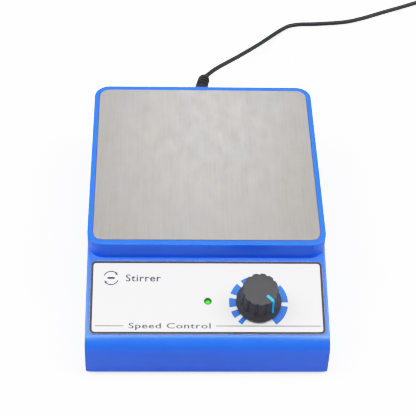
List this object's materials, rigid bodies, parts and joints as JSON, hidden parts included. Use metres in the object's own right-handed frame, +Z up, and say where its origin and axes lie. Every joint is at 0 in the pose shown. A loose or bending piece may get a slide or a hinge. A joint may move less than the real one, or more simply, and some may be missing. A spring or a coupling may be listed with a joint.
{
  "type": "magnetic stirrer",
  "caption": "Small bench magnetic stirrer: blue moulded case, square steel work plate, sloping control panel with a fluted speed knob and a power lamp, and a plug-in power cord.",
  "frame": {"origin": "centre of the work plate's top face, on the stirring axis", "axes": "+Z up, out of the work plate; the control panel faces -Y; +X to the right seen from the front"},
  "size_m": [0.2948, 0.415, 0.0591],
  "materials": {
    "blue_plastic": "satin moulded ABS",
    "steel_plate": "fine brushed",
    "label_film": "printed film, satin",
    "black_plastic": "matte moulded",
    "knob_plastic": "matte moulded",
    "pointer_blue": "satin",
    "led_green": "clear lens, lit green",
    "rubber": "matte",
    "foam_tape": "foam, matte",
    "cord_rubber": "soft matte",
    "zinc_steel": "zinc plated",
    "brass": "bare",
    "magnet_nickel": "nickel plated",
    "aluminium": "machined",
    "board_green": "solder mask",
    "wire_red": "insulation",
    "wire_black": "insulation",
    "white_plastic": "matte moulded",
    "grey_plastic": "matte moulded"
  },
  "bodies": {
    "housing": {"top_shell": "blue_plastic", "work_plate": "steel_plate", "plate_tape": "foam_tape", "bottom_cover": "black_plastic", "front_label": "label_film", "foot_front_left": "rubber", "foot_front_right": "rubber", "foot_rear_left": "rubber", "foot_rear_right": "rubber", "cover_screw_1": "zinc_steel", "cover_screw_2": "zinc_steel", "cover_screw_3": "zinc_steel", "cover_screw_4": "zinc_steel", "power_led": "led_green", "led_holder": "grey_plastic", "speed_pot_body": "zinc_steel", "speed_pot_washer": "zinc_steel", "speed_pot_nut": "zinc_steel", "speed_pot_wafer": "black_plastic", "motor_can": "zinc_steel", "motor_end_cap": "black_plastic", "motor_terminal_left": "brass", "motor_terminal_right": "brass", "motor_bracket": "zinc_steel", "bracket_screw_1": "zinc_steel", "bracket_screw_2": "zinc_steel", "bracket_screw_3": "zinc_steel", "bracket_screw_4": "zinc_steel", "motor_screw_1": "zinc_steel", "motor_screw_2": "zinc_steel", "dc_jack": "black_plastic", "dc_jack_pin": "brass", "dc_jack_nut": "zinc_steel", "control_board": "board_green", "board_screw_1": "zinc_steel", "board_screw_2": "zinc_steel", "filter_capacitor": "black_plastic", "driver_chip": "black_plastic", "power_connector": "white_plastic", "motor_connector": "white_plastic", "heat_sink": "aluminium", "drive_transistor": "black_plastic", "inlet_lead_red": "wire_red", "inlet_lead_black": "wire_black", "motor_lead_red": "wire_red", "motor_lead_black": "wire_black", "control_lead": "wire_black", "lamp_lead": "wire_red"},
    "knob": {"speed_knob": "knob_plastic", "knob_pointer": "pointer_blue", "speed_pot_shaft": "aluminium"},
    "rotor": {"motor_shaft": "zinc_steel", "magnet_carrier": "black_plastic", "carrier_set_screw": "zinc_steel", "magnet_north": "magnet_nickel", "magnet_south": "magnet_nickel"},
    "plug": {"dc_plug_barrel": "magnet_nickel", "dc_plug_hood": "cord_rubber", "power_cord": "cord_rubber"}
  },
  "joints": [
    {"name": "knob_turn", "type": "hinge", "parent": "housing", "child": "knob", "pos_m": [0.0337, -0.11185, -0.02165], "axis": [0, -0.2622, 0.965], "range_deg": [-14, 286]},
    {"name": "rotor_spin", "type": "hinge", "parent": "housing", "child": "rotor", "pos_m": [0, 0, -0.0116], "axis": [0, 0, 1], "continuous": true},
    {"name": "plug_pull", "type": "slide", "parent": "housing", "child": "plug", "axis": [0, 1, 0], "range_m": [0, 0.02]}
  ]
}
